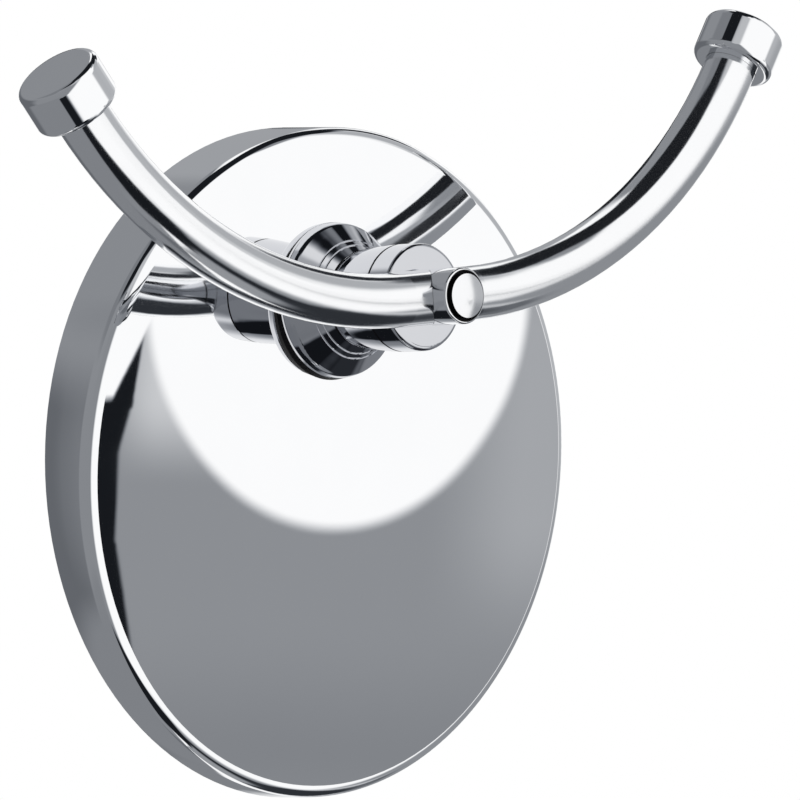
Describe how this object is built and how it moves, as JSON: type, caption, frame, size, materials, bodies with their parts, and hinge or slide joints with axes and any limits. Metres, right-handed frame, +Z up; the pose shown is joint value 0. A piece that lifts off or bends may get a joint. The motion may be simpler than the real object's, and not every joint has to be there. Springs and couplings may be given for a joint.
{
  "type": "double robe hook",
  "caption": "Wall hook with a round leaning cover, a short turned post and a bent round rod whose raised capped arms hold robes or towels.",
  "frame": {"origin": "on the wall plane, at the middle of the round cover's back", "axes": "+Z up, -Y out from the wall towards the user, +Y into the wall, X along the two arms"},
  "size_m": [0.1151, 0.0298, 0.0861],
  "materials": {
    "backplate": "polished chrome plate over brass or cast zinc",
    "wall_bracket": "zinc-plated steel",
    "set_screw": "plated hardened steel",
    "post": "polished chrome plate over brass or cast zinc",
    "post_washer": "zinc-plated steel",
    "post_screw": "zinc-plated steel",
    "saddle": "polished chrome plate over brass or cast zinc",
    "rod": "polished chrome plate over brass or cast zinc",
    "clamp_collar": "polished chrome plate over brass or cast zinc",
    "pin": "polished chrome plate over brass or cast zinc",
    "cap_left": "polished chrome plate over brass or cast zinc",
    "cap_right": "polished chrome plate over brass or cast zinc"
  },
  "bodies": {
    "root": {"backplate": "backplate", "wall_bracket": "wall_bracket", "set_screw": "set_screw", "post": "post", "post_washer": "post_washer", "post_screw": "post_screw", "saddle": "saddle", "rod": "rod", "clamp_collar": "clamp_collar", "pin": "pin", "cap_left": "cap_left", "cap_right": "cap_right"}
  },
  "joints": []
}
